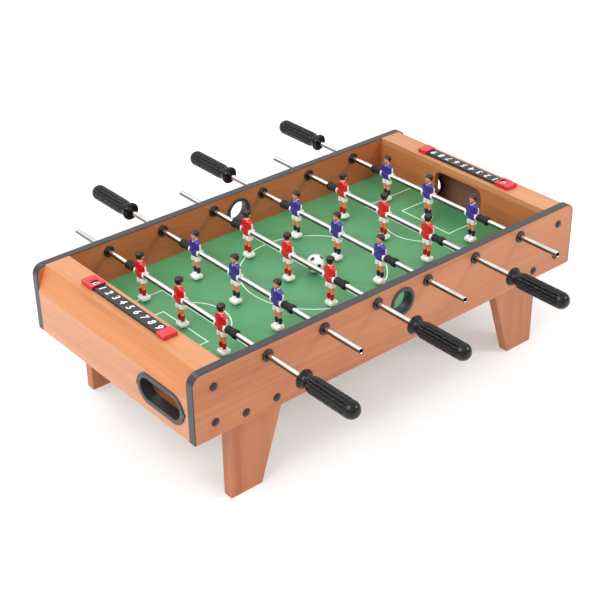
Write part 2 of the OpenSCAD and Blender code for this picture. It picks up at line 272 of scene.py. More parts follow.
def facing(paint, axis, outward=False):
    """1 where a face looks along an axis; with outward, away from the table's middle along it."""
    value = normal_along(paint, axis)
    if outward:
        spot = part_along(paint, paint.add("ShaderNodeTexCoord").outputs["Object"], axis)
        value = paint.math("MULTIPLY", value, paint.math("SIGN", spot))
    return paint.math("GREATER_THAN", value, 0.5)


def pitch_white():
    paint = Paint("pitch_white", linear(226, 246, 226), 0.5)
    wear = paint.noise(500.0, 4.0, 0.7)
    colour = paint.ramp(wear, (0.3, linear(176, 216, 182)), (0.55, linear(228, 247, 229)))
    return paint.finish(colour, paint.span(wear, 0.4, 0.6), wear, 0.00002, 0.3)


def wood_shade(name, along, r, g, b, inside=None):
    """Laminate round one screen colour, with darker and lighter figure."""
    shades = linear(r - 17, g - 19, b - 18), linear(r, g, b), linear(r + 10, g + 12, b + 12)
    return wood_laminate(name, along, *shades, inside)


WOODS = {
    "panel": wood_shade("laminate_panel", 0, 186, 113, 68, "painted_inner_shade"),
    "end": wood_shade("laminate_end", 1, 202, 137, 98, "raw"),
    "bevel": wood_shade("laminate_bevel", 1, 200, 127, 74),
    "top": wood_shade("laminate_top", 1, 200, 136, 90),
    "inner": wood_shade("laminate_inner", 1, 190, 112, 62),
    "leg": wood_shade("laminate_leg", 2, 180, 107, 65),
}
PAINTS = {
    "chrome": chrome(),
    "rubber": rubber(),
    "green": pitch_green(),
    "line": pitch_white(),
    "band": moulded("edge_band", linear(50, 49, 54), 0.3, 900.0),
    "grip": moulded("grip_black", linear(8, 8, 10), 0.24, Specular_IOR_Level=0.34),
    "black": moulded("black_plastic", linear(20, 20, 22), 0.27),
    "ring": moulded("ring_grey", linear(44, 46, 50), 0.33),
    "steel": moulded("screw_steel", linear(120, 120, 124), 0.35, Metallic=1.0),
    "cut": moulded("cut_tube", linear(128, 118, 114), 0.45, Metallic=1.0),
    "rail": moulded("score_black", linear(34, 33, 40), 0.34),
    "digit": moulded("score_digit", linear(240, 240, 244), 0.4),
    "score_red": moulded("score_red", linear(204, 30, 44), 0.24, Coat_Weight=0.3),
    "shirt_red": moulded("shirt_red", linear(206, 18, 28), 0.3, Coat_Weight=0.25),
    "shirt_blue": moulded("shirt_blue", linear(56, 40, 142), 0.3, Coat_Weight=0.25),
    "sock_red": moulded("sock_red", linear(178, 14, 22), 0.34),
    "sock_blue": moulded("sock_blue", linear(28, 26, 66), 0.36),
    "white": moulded("figure_white", linear(238, 238, 232), 0.32, Coat_Weight=0.2),
    "skin": moulded("figure_skin", linear(240, 150, 96), 0.38),
    "hair": moulded("figure_hair", linear(34, 26, 22), 0.34),
    "ink": moulded("figure_ink", linear(40, 22, 20), 0.4),
    "lip": moulded("figure_lip", linear(176, 78, 62), 0.4),
    "ball_white": moulded("ball_white", linear(240, 240, 240), 0.28, Coat_Weight=0.3),
    "ball_black": moulded("ball_black", linear(26, 26, 28), 0.3, Coat_Weight=0.3),
}


# ---- Mesh making ----

def catmull(sections, steps):
    """Rows of numbers with steps new rows between each pair, on a smooth curve through them all."""
    rows = []
    last = len(sections) - 1
    for k in range(last):
        p0, p1, p2, p3 = (sections[min(max(k + d, 0), last)] for d in (-1, 0, 1, 2))
        for s in range(steps):
            t = s / steps
            rows.append([
                0.5 * (2 * b + (c - a) * t + (2 * a - 5 * b + 4 * c - d) * t * t + (3 * b - a - 3 * c + d) * t**3)
                for a, b, c, d in zip(p0, p1, p2, p3)
            ])
    rows.append(list(sections[last]))
    return rows


class Form:
    """A mesh in the making, in millimetres, with a paint on each face."""

    def __init__(self):
        self.mesh = bmesh.new()
        self.paints = []

    def number(self, paint):
        if paint not in self.paints:
            self.paints.append(paint)
        return self.paints.index(paint)

    def skin(self, rings, paint, loop=False):
        """Quads between rings of points, each ring closed on itself; without loop, the two end rings are capped."""
        index = self.number(paint)
        rows = [[self.mesh.verts.new(p) for p in ring] for ring in rings]
        pairs = list(zip(rows, rows[1:])) + ([(rows[-1], rows[0])] if loop else [])
        for low, high in pairs:
            count = len(low)
            for k in range(count):
                n = (k + 1) % count
                face = self.mesh.faces.new((low[k], low[n], high[n], high[k]))
                face.material_index = index
        if not loop:
            for row in (rows[0][::-1], rows[-1]):
                self.mesh.faces.new(row).material_index = index

    def loft(self, sections, paint, steps, around):
        """Stacked ovals: each section is (z, centre x, centre y, half x, half y, squareness)."""
        rings = []
        for z, cx, cy, a, b, e in catmull(sections, steps):
            rings.append([oval(k / around, a, b, e) + Vector((cx, cy, z)) for k in range(around)])
        self.skin(rings, paint)

    def egg(self, centre, radii, paint):
        """A small rounded lump."""
        around, rows = 14, 8
        sections = []
        for k in range(rows + 1):
            a = math.pi * (k + 0.35) / (rows + 0.7) - math.pi / 2
            r = math.cos(a)
            sections.append((
                centre[2] + radii[2] * math.sin(a), centre[0], centre[1], radii[0] * r, radii[1] * r, 2.0
            ))
        self.loft(sections, paint, 1, around)

    def turned(self, outline, paint, around, loop=False):
        """A turned piece about Z from (radius, height) points."""
        rings = []
        for r, h in outline:
            ring = []
            for k in range(around):
                a = 2 * math.pi * (k + 0.5) / around
                ring.append(Vector((r * math.cos(a), r * math.sin(a), h)))
            rings.append(ring)
        self.skin(rings, paint, loop)

    def slab(self, outline, low, high, paint):
        """A flat plate with straight sides from an outline of (x, y) points."""
        self.skin([[Vector((x, y, h)) for x, y in outline] for h in (low, high)], paint)

    def add(self, other, matrix):
        """A copy of another form, moved by a matrix."""
        temporary = bpy.data.meshes.new("temporary")
        other.mesh.to_mesh(temporary)
        temporary.transform(matrix)
        before = len(self.mesh.faces)
        self.mesh.from_mesh(temporary)
        bpy.data.meshes.remove(temporary)
        self.mesh.faces.ensure_lookup_table()
        numbers = [self.number(paint) for paint in other.paints]
        for face in self.mesh.faces[before:]:
            face.material_index = numbers[face.material_index]

    def piece(self, name, matrix, body, replaced=(), angle=40.0):
        """Makes the Blender object: millimetres to metres, set in place, riding on its body."""
        bmesh.ops.recalc_face_normals(self.mesh, faces=self.mesh.faces)
        data = bpy.data.meshes.new(name)
        self.mesh.to_mesh(data)
        data.transform(matrix @ Matrix.Scale(MM, 4))
        for paint in self.paints:
            data.materials.append(PAINTS[paint])
        obj = bpy.data.objects.new(name, data)
        bpy.context.scene.collection.objects.link(obj)
        smooth(obj, angle)
        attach(obj, body)
        if replaced:
            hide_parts(*replaced)


def oval(turn, a, b, squareness):
    """A point on a rounded rectangle or ellipse, turn from 0 to 1."""
    angle = 2 * math.pi * turn
    c, s = math.cos(angle), math.sin(angle)
    power = 2 / squareness
    return Vector((math.copysign(abs(c) ** power, c) * a, math.copysign(abs(s) ** power, s) * b, 0))


def smooth(obj, angle):
    """Smooth shading, sharp where faces meet at more than the angle."""
    for polygon in obj.data.polygons:
        polygon.use_smooth = True
    obj.data.set_sharp_from_angle(angle=math.radians(angle))


# Local frames whose Z is the world's Y, or the world's -X, which is out of the left end
ALONG_Y = Matrix.Rotation(math.radians(-90), 4, "X")
OUT_FRONT = ALONG_Y @ Matrix.Rotation(math.pi, 4, "X")
OUT_LEFT = Matrix(((0, 0, -1, 0), (1, 0, 0, 0), (0, -1, 0, 0), (0, 0, 0, 1)))


# ---- CAD nodes that keep their shape: soft edges and a material ----

CREASE = 35.0


def dress(node, material, edge=0.0, segments=2):
    """A material and edges rounded by so many millimetres. The frame's faces share no corners until they are joined.

    Panels and legs get no bevel: it leaves creases where bolt holes cut up their faces.
    """
    obj = frame["nodes"][node]
    obj.data.materials.clear()
    obj.data.materials.append(material)
    if edge:
        obj.modifiers.new("join_faces", "WELD").merge_threshold = 1e-6
        bevel = obj.modifiers.new("soft_edges", "BEVEL")
        bevel.width = edge * MM
        bevel.segments = segments
        bevel.limit_method = "ANGLE"
        bevel.angle_limit = math.radians(CREASE)
        obj.modifiers.new("even_shading", "WEIGHTED_NORMAL").keep_sharp = True
    smooth(obj, CREASE)


for side in SIDES:
    dress("side_panel_" + side, WOODS["panel"])
    dress("edge_band_" + side, PAINTS["band"], 0.5)
for end in ENDS:
    dress("end_board_" + end, WOODS["end"], 0.3)
    dress("end_bevel_" + end, WOODS["bevel"], 0.3)
    dress("end_top_" + end, WOODS["top"], 0.4)
    dress("goal_wall_" + end, WOODS["inner"], 0.4)
    dress("ball_tray_" + end, WOODS["inner"], 0.4)
    dress("return_ring_" + end, PAINTS["ring"], 0.4)
    dress("score_rail_" + end, PAINTS["rail"], 0.4)
    dress("score_caps_" + end, PAINTS["score_red"], 1.6, 4)
    dress("score_slider_" + end, PAINTS["score_red"], 0.8, 3)
    for side in SIDES:
        dress("leg_{}_{}".format(side, end), WOODS["leg"])
dress("corner_blocks", WOODS["leg"], 0.5)
dress("playfield", PAINTS["green"], 0.3)


# ---- Pitch markings ----

def band_outline(points, half, closed):
    """Left and right edges of a painted line of the given half width along points."""
    left, right = [], []
    count = len(points)
    for k, p in enumerate(points):
        before = points[k - 1] if closed or k else p
        after = points[(k + 1) % count] if closed or k < count - 1 else p
        d1 = (p - before).normalized() if (p - before).length else (after - p).normalized()
        d2 = (after - p).normalized() if (after - p).length else d1
        n1, n2 = Vector((-d1.y, d1.x)), Vector((-d2.y, d2.x))
        miter = (n1 + n2).normalized()
        miter *= half / max(0.3, miter.dot(n1))
        left.append(p + miter)
        right.append(p - miter)
    return left, right


def painted_line(form, points, closed=False):
    """A raised line of paint through (x, y) points."""
    half, thick = 0.9, 0.12
    left, right = band_outline([Vector(p) for p in points], half, closed)
    rings = [[Vector((*a, 0)), Vector((*b, 0)), Vector((*b, thick)), Vector((*a, thick))] for a, b in zip(left, right)]
    form.skin(rings, "line", loop=closed)


def arc(cx, cy, r, start, end, count):
    """Points on an arc, angles in degrees."""
    angles = [math.radians(start + (end - start) * k / (count - 1)) for k in range(count)]
    return [(cx + r * math.cos(a), cy + r * math.sin(a)) for a in angles]


def pitch_lines():
    half_len = field_hi.x / MM
    half_w = field_hi.y / MM
    circle_r, spot_r = 106.0, 4.0
    box_x, box_y, small_x, small_y = 193.0, 98.0, 225.0, 50.0
    arc_x, arc_r = 220.0, 58.0
    form = Form()
    painted_line(form, [(0, -half_w), (0, half_w)])
    painted_line(form, arc(0, 0, circle_r, 0, 357, 120), closed=True)
    form.turned([(spot_r, 0.0), (spot_r, 0.13)], "line", 32)
    opening = math.degrees(math.acos((arc_x - box_x) / arc_r))
    for sx in (-1, 1):
        for x, y in ((box_x, box_y), (small_x, small_y)):
            painted_line(form, [(sx * half_len, -y), (sx * x, -y), (sx * x, y), (sx * half_len, y)])
        curve = arc(arc_x, 0, arc_r, 180 - opening, 180 + opening, 28)
        painted_line(form, [(sx * x, y) for x, y in curve])
    form.piece("pitch_lines", Matrix.Translation((0, 0, field_hi.z)), "table")


pitch_lines()


# ---- Bolts, bushes, rings and screws ----

def bolt_caps():
    """Domed black caps with a thin rim, over the bolts of both side panels."""
    lo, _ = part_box("panel_bolts")
    head_h = PANEL_Y - lo.y / MM
    end_x, leg_z = 313.5, 133.0
    places = [(end_x, 193.0), (end_x, 141.0), (266.0, leg_z), (217.0, leg_z)]
    dome_r, rim_t = 5.0, 0.9
    rim = [(0.3, -1.0), (5.4, -1.0), (5.75, 0.0), (5.75, 0.5), (5.5, 0.85), (5.15, rim_t)]
    dome = []
    for degrees in range(12, 86, 12):
        a = math.radians(degrees)
        dome.append((dome_r * math.cos(a), rim_t + (head_h - rim_t) * math.sin(a)))
    cap = Form()
    cap.turned(rim + dome + [(0.25, head_h)], "black", 36)
    cap.turned([(2.45, -1.0), (2.45, -20.0), (1.9, -20.9), (0.2, -20.9)], "steel", 20)
    form = Form()
    for turn in SIDES.values():
        for sx in (-1, 1):
            for x, z in places:
                spot = Matrix.Translation((sx * x, PANEL_Y, z)) @ OUT_FRONT
                form.add(cap, turn @ spot)
    form.piece("bolt_caps", Matrix.Identity(4), "table", ["panel_bolts"])


def sleeve_outline(bore, sleeve, rim, rim_t, half_t):
    """Half sleeve from the panel's middle out to its rounded rim, as (radius, height) points."""
    top = half_t + rim_t
    return [
        (bore, 0.05), (sleeve, 0.05), (sleeve, half_t), (rim - 0.1, half_t),
        (rim, half_t + 0.25), (rim, top - 0.8), (rim - 0.25, top - 0.3), (rim - 0.8, top),
        (bore + 0.9, top), (bore + 0.35, top - 0.2), (bore, top - 0.7),
    ]


def sleeves(name, side, places, sizes, node, paint, around):
    """A sleeve through one side panel at each place, in two halves that meet in the panel's middle."""
    half = Form()
    half.turned(sleeve_outline(*sizes), paint, around, loop=True)
    form = Form()
    for x, z in places:
        for out in (ALONG_Y, OUT_FRONT):
            form.add(half, SIDES[side] @ Matrix.Translation((x, PANEL_Y + PANEL_T / 2, z)) @ out)
    form.piece(name + side, Matrix.Identity(4), "table", [node])


def bushes_and_rings():
    rods = [(p.x / MM, p.z / MM) for p in RODS.values()]
    lo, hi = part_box("rod_bushes_front")
    rim = (hi.z - lo.z) / 2 / MM
    rim_t = PANEL_Y - lo.y / MM
    serve = [(0.0, (ring_lo.z + ring_hi.z) / 2 / MM)]
    serve_rim = (ring_hi.z - ring_lo.z) / 2 / MM
    serve_t = PANEL_Y - ring_lo.y / MM
    for side in SIDES:
        bush_sizes = SLIDING_BORE, 6.5, rim, rim_t, PANEL_T / 2
        sleeves("rod_bush_set_", side, rods, bush_sizes, "rod_bushes_" + side, "black", 40)
        ring_sizes = serve_rim - 5, serve_rim - 3, serve_rim, serve_t, PANEL_T / 2
        sleeves("serve_ring_pair_", side, serve, ring_sizes, "serve_ring_" + side, "ring", 72)


def ring_screws():
    """Pan-head screws with a cross recess in the ears of the ball-return rings."""
    lo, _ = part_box("return_ring_screws")
    oval_lo, oval_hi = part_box("return_ring_left")
    head_h = (oval_lo.x - lo.x) / MM
    centre = (oval_lo + oval_hi) / 2 / MM
    ear = 46.0
    screw = Form()
    screw.turned([
        (0.2, -9.5), (0.9, -9.4), (1.15, -8.6), (1.15, 0.0), (2.35, 0.0), (2.4, 0.25), (2.1, 0.6), (1.4, head_h),
        (0.2, head_h),
    ], "steel", 28)
    cross = Form()
    arm, wide, top = 1.15, 0.28, head_h + 0.02
    for a, b in ((arm, wide), (wide, arm)):
        cross.slab([(-a, -b), (a, -b), (a, b), (-a, b)], top - 0.06, top, "ink")
    form = Form()
    for turn in ENDS.values():
        for sy in (-1, 1):
            spot = Matrix.Translation((oval_lo.x / MM, centre.y + sy * ear, centre.z)) @ OUT_LEFT
            spot = spot @ Matrix.Rotation(0.5 + sy, 4, "Z")
            form.add(screw, turn @ spot)
            form.add(cross, turn @ spot)
    form.piece("ring_screw_set", Matrix.Identity(4), "table", ["return_ring_screws"])


bolt_caps()
bushes_and_rings()
ring_screws()


# ---- Scorer numbers ----

def score_numbers(end):
    """Raised numbers 0 to 9 on a scorer's rail, read from outside the end."""
    pitch = 16.0
    size, raised, lean, thicker = 14.49, 0.1, 0.16, 0.26
    first = rail_hi.y / MM - 8.5
    middle = (rail_lo.x + rail_hi.x) / 2 / MM
    base = rail_hi.z / MM
    slant = Matrix(((1, lean, 0, 0), (0, 1, 0, 0), (0, 0, 1, 0), (0, 0, 0, 1)))
    form = Form()
    form.number("digit")
    for k in range(10):
        curve = bpy.data.curves.new("digit", "FONT")
        curve.body = str(k)
        curve.size = size
        curve.offset = thicker
        curve.resolution_u = 6
        curve.extrude = raised
        curve.align_x = "CENTER"
        curve.align_y = "CENTER"
        holder = bpy.data.objects.new("digit", curve)
        bpy.context.scene.collection.objects.link(holder)
        bpy.context.view_layer.update()
        data = bpy.data.meshes.new_from_object(holder)
        place = Matrix.Translation((middle, first - k * pitch, base + raised)) @ Matrix.Rotation(-math.pi / 2, 4, "Z")
        data.transform(place @ slant)
        form.mesh.from_mesh(data)
        bpy.data.objects.remove(holder)
    # The font's outlines have doubled points, which would leave the digits open
    bmesh.ops.remove_doubles(form.mesh, verts=form.mesh.verts, dist=0.002)
    for face in form.mesh.faces:
        face.material_index = 0
    form.piece("score_numbers_" + end, ENDS[end], "table", angle=30)


for end in ENDS:
    score_numbers(end)


# ---- Ball ----

def in_spot(point, out, corners):
    """True inside the black spot of a five-sided panel, which leaves a white rim."""
    nearby, size = 0.8, 0.75
    if point.dot(out) < nearby:
        return False
    flat = point / point.dot(out)
    middle = sum(corners, Vector()) / len(corners)
    reach = middle.length
    for a, b in zip(corners, corners[1:] + corners[:1]):
        side = (a + b) / 2 - middle
        if (flat * reach - middle).dot(side.normalized()) > side.length * size:
            return False
    return True


def soccer_ball():
    """A white ball of twelve five-sided and twenty six-sided panels with shallow seams and black spots."""
    radius = (ball_hi.z - ball_lo.z) / 2 / MM
    centre = (ball_lo + ball_hi) / 2
    skin_depth, seam_depth, seam_width = 0.02, 0.28, 0.05
    form = Form()
    mesh = form.mesh
    form.number("ball_white")
    form.number("ball_black")
    bmesh.ops.create_icosphere(mesh, subdivisions=1, radius=radius)
    bmesh.ops.bevel(mesh, geom=mesh.verts[:], offset=100 / 3, offset_type="PERCENT", affect="VERTICES", segments=1)
    panels = []
    spots = []
    for face in mesh.faces:
        out, far = face.normal.copy(), face.normal.dot(face.calc_center_median())
        panels.append((out, far))
        if len(face.verts) == 5:
            spots.append((out, [vert.co.copy() for vert in face.verts]))
    bmesh.ops.poke(mesh, faces=mesh.faces[:])
    bmesh.ops.subdivide_edges(mesh, edges=mesh.edges[:], cuts=7, use_grid_fill=True)
    for face in mesh.faces:
        centre_out = face.calc_center_median().normalized()
        face.material_index = int(any(in_spot(centre_out, out, corners) for out, corners in spots))
    for vert in mesh.verts:
        out = vert.co.normalized()
        best = sorted((normal.dot(out) / far for normal, far in panels), reverse=True)
        seam = max(0.0, 1 - (best[0] - best[1]) / (seam_width * best[0]))
        vert.co = out * (radius - skin_depth - seam_depth * seam * seam)
    tilt = Euler([math.radians(a) for a in (-147.2, -6.9, -61.8)]).to_matrix().to_4x4()
    form.piece("soccer_ball", Matrix.Translation(centre) @ tilt, "ball", ["ball"], 60)


soccer_ball()


# ---- Rods: tube, handle, bumpers and figures ----

def rod_matrix(body):
    """The rod's local frame: its axis at the origin, the handle towards -Y, the figures facing +X."""
    turn = HALF_TURN if int(body.split("_")[1]) % 2 == 0 else Matrix.Identity(4)
    return Matrix.Translation(RODS[body]) @ turn


def tube_form():
    """Drawn tube about Z with eased ends: the handle's end low, the bare end high, open and dark inside."""
    r = (tube_hi.z - tube_lo.z) / 2 / MM
    wall, ease = 0.8, 0.25
    front, back = tube_lo.y / MM, tube_hi.y / MM
    plug = r - wall - 0.02
    form = Form()
    form.turned([
        (r - ease, front), (r, front + ease), (r, back - ease), (r - ease, back),
        (r - wall + ease, back), (r - wall, back - ease), (r - wall, back - 60), (r - wall, front),
    ], "chrome", 40, loop=True)
    # Painted shade: a dark disc down the bore stands in for the dark inside of the tube
    form.turned([(plug, back - 30), (plug, back - 31)], "ink", 32)
    # The end that was sawn off is bare steel
    cut = form.number("cut")
    for face in form.mesh.faces:
        if face.calc_center_median().z > back - 0.05:
            face.material_index = cut
    return form


# Ribs round a handle, and in millimetres from its flange's face: where they start, how long a brick of a rib is,
# and how long the rounded end is
RIBS, RIB_START, BRICK, DOME = 14, 15.0, 14.0, 11.0


def grip_radius(angle, s, length):
    """Radius of the handle's surface, by angle about the axis and distance s from the flange's face."""
    top = (handle_hi.x - handle_lo.x) / 2 / MM
    grip = top - 1.4
    profile = [
        (0.0, top - 1.0), (0.8, top), (2.6, top), (3.6, top - 0.9), (5.5, 10.9), (8.0, 9.6), (10.5, 9.4),
        (13.0, 9.8), (15.5, 10.9), (18.5, grip - 0.3), (21.0, grip), (length, grip),
    ]
    for (s0, r0), (s1, r1) in zip(profile, profile[1:]):
        if s <= s1:
            radius = r0 + (r1 - r0) * (s - s0) / (s1 - s0)
            break
    stop = length - DOME
    if s > stop:
        radius = grip * math.sqrt(1 - (0.92 * (s - length + DOME) / DOME) ** 2)
    if RIB_START < s < stop:
        groove_depth, gap_depth = 1.6, 1.0
        fade = min(1.0, (s - RIB_START) / 3.0, (stop - s) / 1.5)
        turn = angle / (2 * math.pi) * RIBS
        # Bricks of neighbouring ribs are laid half a brick apart
        odd = int(turn) % 2
        across = abs((turn % 1.0) - 0.5) * 2
        groove = 0.4 * across**2 + 0.6 * min(1.0, max(0.0, (across - 0.5) / 0.4))
        along = ((s - RIB_START) + odd * BRICK / 2) % BRICK
        gap = min(1.0, max(0.0, 1.5 - min(along, BRICK - along)))
        radius -= fade * max(groove_depth * groove, gap_depth * gap)
    return radius


def handle_form():
    """Handle along Y: a dished flange, a neck, brick-shaped ribs and a rounded end."""
    length = (handle_hi.y - handle_lo.y) / MM
    flange_y = handle_hi.y / MM
    around = RIBS * 10
    dish = [(1.6, GRIPPING_BORE), (1.5, 6.4), (0.9, 9.6), (0.25, (handle_hi.x - handle_lo.x) / 2 / MM - 1.7)]
    step = 0.7
    places = [0.0, 0.4, 0.8, 1.7, 2.6, 3.1, 3.6, 4.5, 5.5, 6.7, 8.0, 9.2, 10.5, 11.8, 13.0, 14.2, RIB_START]
    places += [RIB_START + step * k for k in range(1, int((length - RIB_START - DOME) / step) + 1)]
    places += [length - t for t in (10.9, 9.9, 8.9, 7.9, 6.9, 5.9, 4.9, 4.0, 3.2, 2.5, 1.9, 1.3, 0.8, 0.4, 0.15, 0.0)]
    form = Form()
    rings = []
    for s, dish_r in dish + [(s, None) for s in places]:
        ring = []
        for k in range(around):
            a = 2 * math.pi * k / around
            r = dish_r or grip_radius(a, s, length)
            ring.append(Vector((r * math.cos(a), flange_y - s, r * math.sin(a))))
        rings.append(ring)
    form.skin(rings, "grip")
    return form


def bumper_form():
    """Rubber bumper with a wide outer collar, drawn for the -Y side with its outer end at -Y."""
    r = (bumper_hi.z - bumper_lo.z) / 2 / MM
    outer = bumper_lo.y / MM
    inner = -(figure_hi.y / MM) - 0.4
    form = Form()
    form.turned([
        (SLIDING_BORE, outer), (r - 1.2, outer), (r - 0.4, outer + 0.4), (r, outer + 1.2), (r, outer + 5.6),
        (r - 0.25, outer + 6.5), (r - 0.8, outer + 7.1), (r - 1.1, outer + 8.0), (r - 1.25, inner - 4.4),
        (r - 1.2, inner - 3.8), (r - 0.9, inner - 3.3), (r - 0.7, inner - 2.6), (r - 0.7, inner - 1.0),
        (r - 1.0, inner - 0.3), (r - 1.7, inner), (SLIDING_BORE, inner),
    ], "rubber", 44, loop=True)
    return form


# Sections of the head and of the figures' other parts are those of Form.loft
HEAD = [
    (21.7, 0.7, 0.0, 2.6, 2.4, 2.0), (22.6, 0.9, 0.0, 4.2, 3.8, 2.1), (24.4, 0.8, 0.0, 5.3, 4.7, 2.2),
    (27.0, 0.4, 0.0, 6.0, 5.3, 2.1), (29.5, 0.1, 0.0, 6.2, 5.5, 2.0), (31.8, -0.1, 0.0, 5.7, 5.1, 2.0),
    (33.4, -0.2, 0.0, 4.4, 4.0, 2.0), (34.3, -0.3, 0.0, 2.6, 2.4, 2.0),
]


def head_at(z):
    """The head's oval at a height, between its sections."""
    rows = catmull(HEAD, 6)
    z = min(max(z, rows[0][0]), rows[-1][0])
    for low, high in zip(rows, rows[1:]):
        if z <= high[0]:
            t = (z - low[0]) / (high[0] - low[0])
            return [a + (b - a) * t for a, b in zip(low, high)]
    return rows[-1]


def hair(form):
    """A cap of combed hair: high over the forehead, down to the ears and the nape."""
    around, rows = 60, 12
    nape, forehead, crown = 23.4, 32.0, 34.2
    rings = []
    for row in range(rows + 1):
        t = max(0.0, (row - 1) / (rows - 1))
        ring = []
        for k in range(around):
            angle = 2 * math.pi * k / around
            locks = angle * 4.5 + 0.4
            front = (1 + math.cos(angle)) / 2
            sideburn = 1.5 * math.exp(-((math.cos(angle) / 0.3) ** 2))
            low = nape + (forehead - nape) * front - sideburn - 0.9 * abs(math.sin(locks))
            z = low + (crown - low) * math.sin(t * math.pi / 2) ** 0.9
            _, cx, cy, a, b, _ = head_at(z)
            comb = abs(math.sin(locks + 2.2 * t))
            # The first row is tucked into the head
            lift = 0.22 + 0.85 * comb * (1 - 0.5 * t) if row else -0.5
            ring.append(oval(k / around, a + lift, b + lift, 2.0) + Vector((cx, cy, z + 0.5 * t)))
        rings.append(ring)
    form.skin(rings, "hair")


def collar(form):
    """White collar round the neck that dips to a V on the chest."""
    around, section = 40, 8
    thick = 0.62
    rings = []
    for k in range(around):
        angle = 2 * math.pi * k / around
        dip = max(0.0, math.cos(angle)) ** 6
        centre = Vector((3.2 * math.cos(angle) + 1.55 * dip, 3.4 * math.sin(angle), 20.0 - 3.6 * dip))
        out = Vector((math.cos(angle), math.sin(angle), 0))
        ring = []
        for j in range(section):
            turn = 2 * math.pi * j / section
            ring.append(centre + thick * (math.cos(turn) * out + math.sin(turn) * Vector((0, 0, 1))))
        rings.append(ring)
    form.skin(rings, "white", loop=True)


def head_form():
    """A plain doll's head, with its neck and collar, looking along +X."""
    head = Form()
    head.loft([(17, 0, 0, 2.8, 2.8, 2), (20, 0.1, 0, 2.6, 2.6, 2), (23.4, 0.4, 0, 2.9, 2.7, 2)], "skin", 3, 20)
    head.loft(HEAD, "skin", 5, 32)
    hair(head)
    collar(head)
    nose, mouth = (6.25, 0, 27.3), (5.35, 0, 24.9)
    head.egg(nose, (0.9, 0.75, 1.15), "skin")
    head.egg(mouth, (0.5, 1.5, 0.32), "lip")
    for sy in (-1, 1):
        ear, eye, brow = (0.2, sy * 5.45, 27.6), (5.55, sy * 2.05, 28.7), (5.45, sy * 2.1, 30.1)
        head.egg(ear, (1.2, 0.75, 1.6), "skin")
        head.egg(eye, (0.5, 0.62, 0.42), "ink")
        head.egg(brow, (0.5, 1.1, 0.26), "ink")
    return head


def arm(form, sy, shirt):
    """A sleeve with its white stripe, down to the white cuff that rings the rod."""
    form.loft([
        (15.6, 0, sy * 7.1, 1.9, 1.9, 2), (14.3, 0, sy * 8.3, 2.9, 2.6, 2.1), (11.0, 0.1, sy * 8.8, 3.1, 2.7, 2.2),
        (6.6, 0.2, sy * 8.75, 3.3, 2.7, 2.3), (3.0, 0.2, sy * 8.6, 3.9, 2.6, 2.4),
        (0.0, 0.1, sy * 8.4, 4.2, 2.4, 2.4),
    ], shirt, 4, 22)
    form.loft([
        (14.0, 0, sy * 10.7, 0.9, 0.35, 2.6), (13.5, 0, sy * 10.85, 1.25, 0.45, 2.6),
        (11.0, 0.1, sy * 11.2, 1.4, 0.4, 2.6), (6.6, 0.2, sy * 11.17, 1.5, 0.38, 2.6),
        (3.4, 0.2, sy * 11.0, 1.5, 0.38, 2.6),
    ], "white", 3, 16)
    cuff = Form()
    cuff.turned([
        (GRIPPING_BORE, 8.2), (5.6, 8.2), (5.75, 8.6), (5.8, 9.4), (5.75, 10.7), (5.45, 11.25), (4.9, 11.45),
        (GRIPPING_BORE, 11.45),
    ], "white", 30, loop=True)
    form.add(cuff, ALONG_Y if sy > 0 else OUT_FRONT)


def leg(form, sy, sock, sole):
    """Half of the shorts, a knee, a sock and a boot that stands in the sole block."""
    form.loft([
        (-7.5, 0, sy * 3.5, 4.5, 3.5, 2.4), (-9.5, 0, sy * 3.7, 4.9, 3.8, 2.5), (-12.0, 0, sy * 3.85, 5.0, 3.9, 2.5),
        (-13.6, 0, sy * 3.9, 5.15, 4.0, 2.5), (-13.9, 0, sy * 3.9, 4.9, 3.8, 2.5),
    ], "white", 3, 26)
    form.loft([
        (-12.5, 0.1, sy * 3.7, 3.5, 3.1, 2), (-16, 0.3, sy * 3.65, 3.4, 3.0, 2), (-20, 0.4, sy * 3.55, 3.0, 2.7, 2),
        (-22.6, 0.5, sy * 3.5, 2.75, 2.5, 2), (-25.5, 0.1, sy * 3.5, 2.8, 2.6, 2),
    ], "skin", 3, 22)
    form.loft([
        (-24.6, 0.1, sy * 3.5, 2.7, 2.5, 2), (-24.8, 0.1, sy * 3.5, 3.1, 2.85, 2), (-26.2, 0, sy * 3.5, 3.15, 2.9, 2),
        (-26.6, -0.1, sy * 3.5, 2.95, 2.7, 2), (-29.5, -0.4, sy * 3.5, 3.1, 2.8, 2),
        (-33.5, -0.3, sy * 3.5, 2.6, 2.4, 2), (-37.5, 0, sy * 3.6, 2.5, 2.4, 2),
    ], sock, 3, 22)
    form.loft([
        (sole + 7.6, -0.2, sy * 3.6, 2.5, 2.4, 2), (sole + 7.2, -0.2, sy * 3.6, 3.0, 2.8, 2.1),
        (sole + 5.8, 0.4, sy * 3.7, 3.9, 3.1, 2.3), (sole + 4.4, 1.3, sy * 3.8, 5.3, 3.35, 2.5),
        (sole + 3.0, 1.5, sy * 3.8, 6.0, 3.5, 2.7), (sole + 2.0, 1.5, sy * 3.8, 6.1, 3.5, 2.7),
    ], "white", 3, 26)


